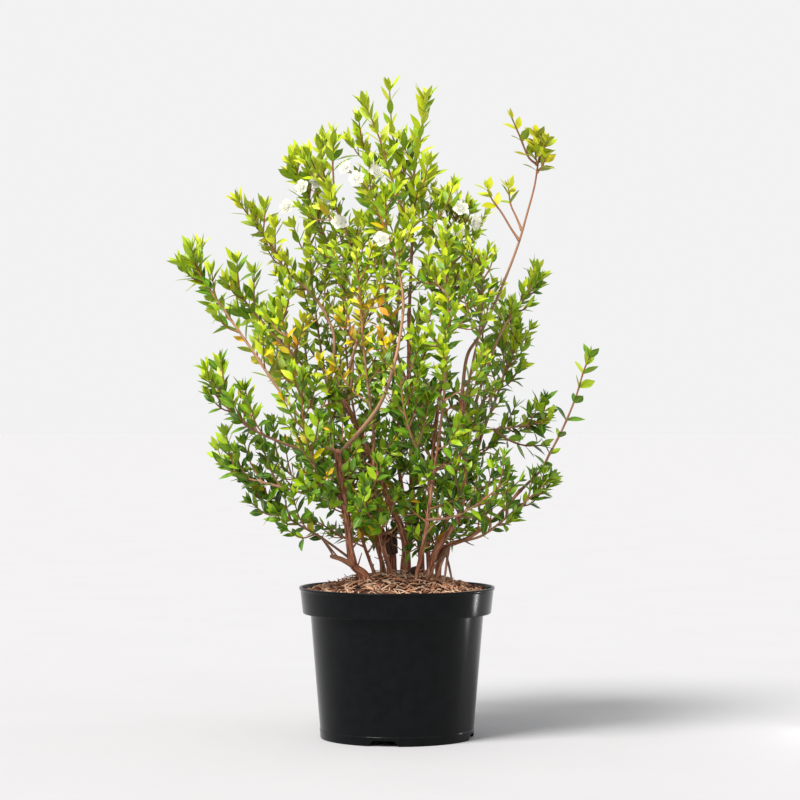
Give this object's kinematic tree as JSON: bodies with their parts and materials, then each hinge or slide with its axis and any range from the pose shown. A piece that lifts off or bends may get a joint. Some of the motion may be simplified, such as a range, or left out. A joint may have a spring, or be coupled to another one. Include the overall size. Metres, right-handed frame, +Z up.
{
  "type": "potted common myrtle",
  "caption": "Bushy evergreen myrtle with small pointed leaves and a few white blooms, in a round black nursery pot with bark mulch",
  "frame": {"origin": "the middle of the pot's underside, on the surface that the pot stands on", "axes": "+Z up along the stems, -Y to the front of the bush as the picture shows it, +X to the picture's right"},
  "size_m": [0.5463, 0.3944, 0.8753],
  "materials": {
    "pot_plastic": "satin black moulded plastic",
    "potting_mix": "dark crumbly potting mix of bark and peat",
    "bark_mulch": "loose coppery brown bark and coir chips",
    "bark": "matte brown flaking bark",
    "old_wood": "dark weathered cut wood",
    "leafy_stem": "glossy bright green leaves on thin reddish twigs",
    "petal": "soft white petals with a brush of white stamens"
  },
  "bodies": {
    "root": {"pot": "pot_plastic", "potting_mix": "potting_mix", "bark_mulch": "bark_mulch", "left_cane": "bark", "main_trunk": "bark", "centre_cane": "bark", "old_stump": "old_wood", "right_cane": "bark", "low_right_cane": "bark", "right_mid_cane": "bark", "upper_right_cane": "bark", "thin_left_cane": "bark", "front_cane": "bark", "thin_back_cane": "bark", "back_left_cane": "bark", "back_mid_cane": "bark", "back_right_cane": "bark", "front_right_cane": "bark", "bloom_trio_left": "petal", "bloom_left": "petal", "bloom_mid_left": "petal", "bloom_centre": "petal", "bloom_trio_top": "petal", "bloom_pair_right": "petal", "bloom_pair_far_right": "petal", "far_left_stem": "leafy_stem", "front_arch_stem": "leafy_stem", "left_mid_stem": "leafy_stem", "left_low_stem": "leafy_stem", "left_lowest_stem": "leafy_stem", "trunk_left_stem": "leafy_stem", "trunk_up_stem": "leafy_stem", "trunk_right_stem": "leafy_stem", "trunk_top_left_stem": "leafy_stem", "tall_centre_stem": "leafy_stem", "centre_left_stem": "leafy_stem", "right_tall_stem": "leafy_stem", "right_upper_stem": "leafy_stem", "right_long_stem": "leafy_stem", "right_low_stem": "leafy_stem", "right_mid_stem": "leafy_stem", "right_edge_stem": "leafy_stem", "right_back_stem": "leafy_stem", "upper_right_stem": "leafy_stem", "upper_back_stem": "leafy_stem", "left_centre_stem": "leafy_stem", "left_front_stem": "leafy_stem", "front_centre_stem": "leafy_stem", "front_low_stem": "leafy_stem", "front_right_stem": "leafy_stem", "front_right_low_stem": "leafy_stem", "front_mid_stem": "leafy_stem", "back_inner_stem": "leafy_stem", "back_left_out_stem": "leafy_stem", "back_left_top_stem": "leafy_stem", "back_left_low_stem": "leafy_stem", "back_mid_top_stem": "leafy_stem", "back_mid_out_stem": "leafy_stem", "back_mid_low_stem": "leafy_stem", "back_right_stem": "leafy_stem"}
  },
  "joints": []
}
